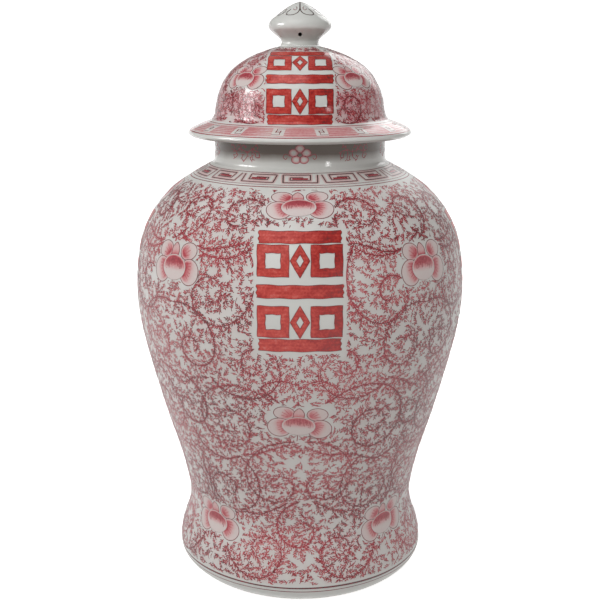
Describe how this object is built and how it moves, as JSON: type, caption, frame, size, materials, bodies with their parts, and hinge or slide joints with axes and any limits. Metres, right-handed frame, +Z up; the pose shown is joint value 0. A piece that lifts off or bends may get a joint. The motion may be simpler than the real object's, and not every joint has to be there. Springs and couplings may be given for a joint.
{
  "type": "ginger jar",
  "caption": "Lidded porcelain temple jar with a full shoulder, a waist above a rolled foot, and a domed lid with a bud knob that lifts off.",
  "frame": {"origin": "on the floor, at the middle of the foot ring's underside", "axes": "+Z up along the axis that the jar was thrown on; the front panel faces -Y and +X is to the right of it"},
  "size_m": [0.29, 0.29, 0.508],
  "materials": {
    "decorated_porcelain": "clear gloss glaze over red painted decoration",
    "plain_porcelain": "clear gloss glaze, pale grey-green white",
    "bare_porcelain": "unglazed fired clay, dry and matt"
  },
  "bodies": {
    "jar": {"lower_body": "decorated_porcelain", "upper_body": "decorated_porcelain", "neck": "plain_porcelain"},
    "lid": {"lid_shell": "decorated_porcelain", "lid_locating_ring": "bare_porcelain", "knob": "plain_porcelain"}
  },
  "joints": [
    {"name": "lid_lift", "type": "slide", "parent": "jar", "child": "lid", "axis": [0, 0, 1], "range_m": [0, 0.12]}
  ]
}
